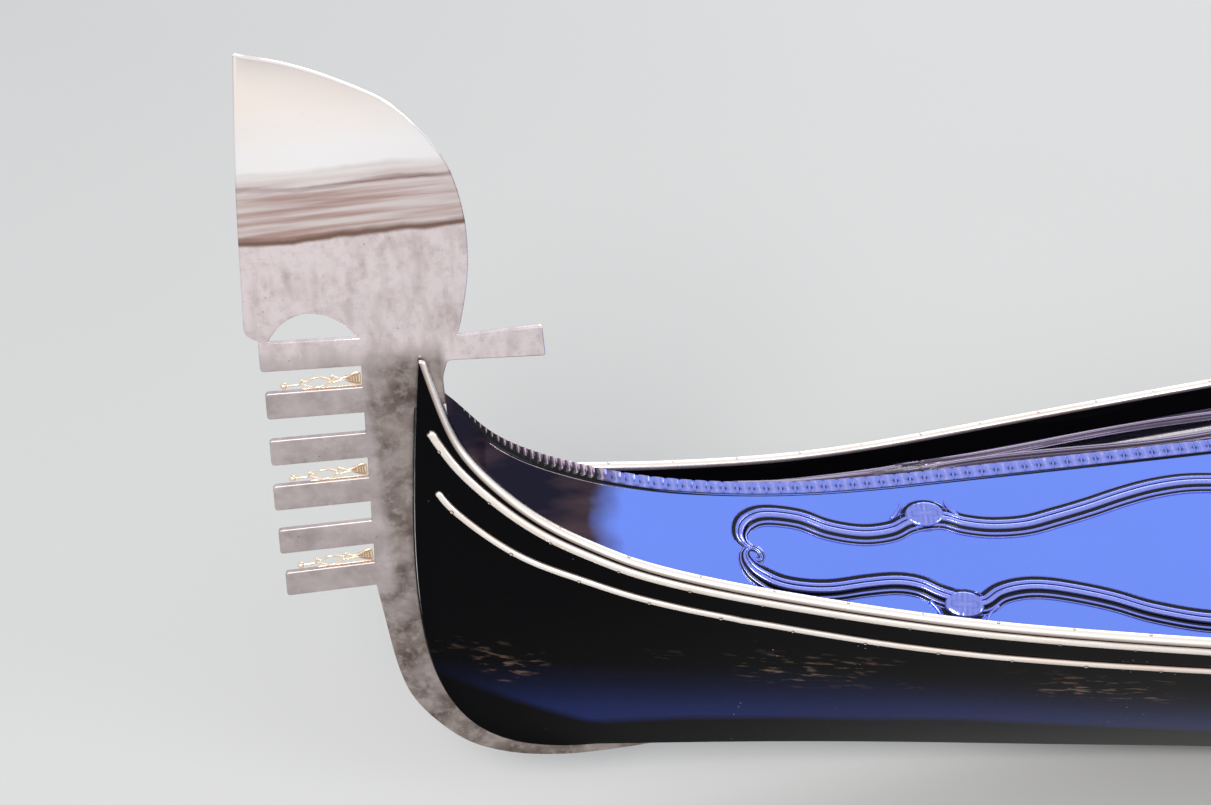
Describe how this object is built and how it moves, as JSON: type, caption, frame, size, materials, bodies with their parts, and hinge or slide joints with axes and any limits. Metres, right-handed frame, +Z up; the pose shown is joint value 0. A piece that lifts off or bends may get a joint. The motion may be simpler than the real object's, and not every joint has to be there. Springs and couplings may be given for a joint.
{
  "type": "rowed flat-bottomed passenger boat, gondola type",
  "caption": "Long lopsided flat-bottomed rowing boat with decked ends, a toothed bow iron, an open seated cockpit and two lockers with hinged doors.",
  "frame": {"origin": "on the waterline, amidships, on the line that joins stem and stern post", "axes": "+X towards the bow iron, +Y to port, +Z up out of the water"},
  "size_m": [11.1968, 1.4361, 1.8226],
  "materials": {
    "black_lacquer": "gloss black lacquer",
    "bottom_paint": "matt black bottom paint",
    "deck_lacquer": "mirror-gloss lacquer that reads blue under the sky",
    "carved_lacquer": "gloss lacquer on carving",
    "black_wood": "satin black",
    "strip_metal": "polished, lightly tarnished",
    "steel": "polished above, dull and mottled below",
    "brass": "polished brass",
    "floor_wood": "oiled boards",
    "walnut": "oiled walnut",
    "velvet": "dark red velvet"
  },
  "bodies": {
    "hull": {"port_plank_bow": "black_lacquer", "port_plank_middle": "black_lacquer", "port_plank_stern": "black_lacquer", "starboard_plank_bow": "black_lacquer", "starboard_plank_middle": "black_lacquer", "starboard_plank_stern": "black_lacquer", "bottom_bow": "bottom_paint", "bottom_middle": "bottom_paint", "bottom_stern": "bottom_paint", "stem_post": "black_wood", "stern_post": "black_wood", "port_upper_strip": "strip_metal", "port_middle_strip": "strip_metal", "port_lower_strip": "strip_metal", "starboard_upper_strip": "strip_metal", "starboard_middle_strip": "strip_metal", "starboard_lower_strip": "strip_metal", "port_foredeck": "deck_lacquer", "starboard_foredeck": "deck_lacquer", "port_afterdeck": "deck_lacquer", "starboard_afterdeck": "deck_lacquer", "foredeck_ridge": "carved_lacquer", "afterdeck_ridge": "carved_lacquer", "port_moulding": "carved_lacquer", "starboard_moulding": "carved_lacquer", "bow_iron": "steel", "ornament_1": "brass", "ornament_2": "brass", "ornament_3": "brass", "stern_iron": "steel", "floor_frames": "black_wood", "cockpit_floor": "floor_wood", "port_frames": "black_wood", "starboard_frames": "black_wood", "fore_thwart": "black_wood", "aft_thwart": "black_wood", "fore_bulkhead": "black_wood", "aft_bulkhead": "black_wood", "stern_platform": "black_wood", "seat_base": "black_wood", "seat_back": "black_wood", "seat_cushion": "velvet", "back_cushion": "velvet", "port_stool": "black_wood", "port_stool_cushion": "velvet", "starboard_stool": "black_wood", "starboard_stool_cushion": "velvet", "rowlock_block": "black_wood", "rowlock": "walnut"},
    "fore_door": {"fore_locker_door": "black_wood"},
    "aft_door": {"aft_locker_door": "black_wood"}
  },
  "joints": [
    {"name": "fore_door_hinge", "type": "hinge", "parent": "hull", "child": "fore_door", "pos_m": [2.3627, 0.312, 0.24], "axis": [0, 0, -1], "range_deg": [0, 95]},
    {"name": "aft_door_hinge", "type": "hinge", "parent": "hull", "child": "aft_door", "pos_m": [-2.0127, 0.292, 0.215], "axis": [0, 0, 1], "range_deg": [0, 95]}
  ]
}
